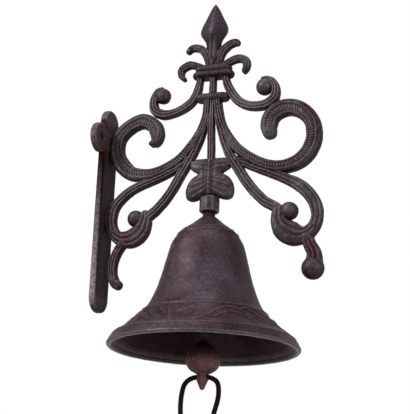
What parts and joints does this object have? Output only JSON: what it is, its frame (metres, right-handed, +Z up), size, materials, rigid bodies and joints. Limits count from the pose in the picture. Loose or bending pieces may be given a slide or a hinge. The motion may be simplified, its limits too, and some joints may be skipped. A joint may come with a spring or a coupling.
{
  "type": "wall bell",
  "caption": "Cast-iron door bell on a scrolled wall bracket, rung by a hanging clapper with a looped pull cord.",
  "frame": {"origin": "On the wall face of the plate, midway between its two screw holes.", "axes": "+X stands out from the wall, +Z is up, and +Y is to the right of someone facing the wall."},
  "size_m": [0.1438, 0.114, 0.3222],
  "materials": {
    "bracket": "dark brown antique cast iron, rubbed lighter on the ridges",
    "bell": "dark brown antique cast iron, worn bright at the lip",
    "eye_bolt": "dark iron, as cast",
    "washer": "dulled plain steel",
    "hex_nut": "dulled plain steel",
    "link": "dark iron wire, welded",
    "clapper": "dark brown cast iron with a mould seam",
    "pull_cord": "black braided cord",
    "cord_knot": "black braided cord, knotted"
  },
  "bodies": {
    "bracket": {"bracket": "bracket", "bell": "bell", "eye_bolt": "eye_bolt", "washer": "washer", "hex_nut": "hex_nut"},
    "link": {"link": "link"},
    "clapper": {"clapper": "clapper", "pull_cord": "pull_cord", "cord_knot": "cord_knot"}
  },
  "joints": [
    {"name": "link_swing", "type": "hinge", "parent": "bracket", "child": "link", "pos_m": [0.072, 0, -0.0777], "axis": [1, 0, 0], "range_deg": [-26, 26]},
    {"name": "clapper_swing", "type": "hinge", "parent": "link", "child": "clapper", "pos_m": [0.072, 0, -0.0908], "axis": [0, 1, 0], "range_deg": [-26, 26]}
  ]
}
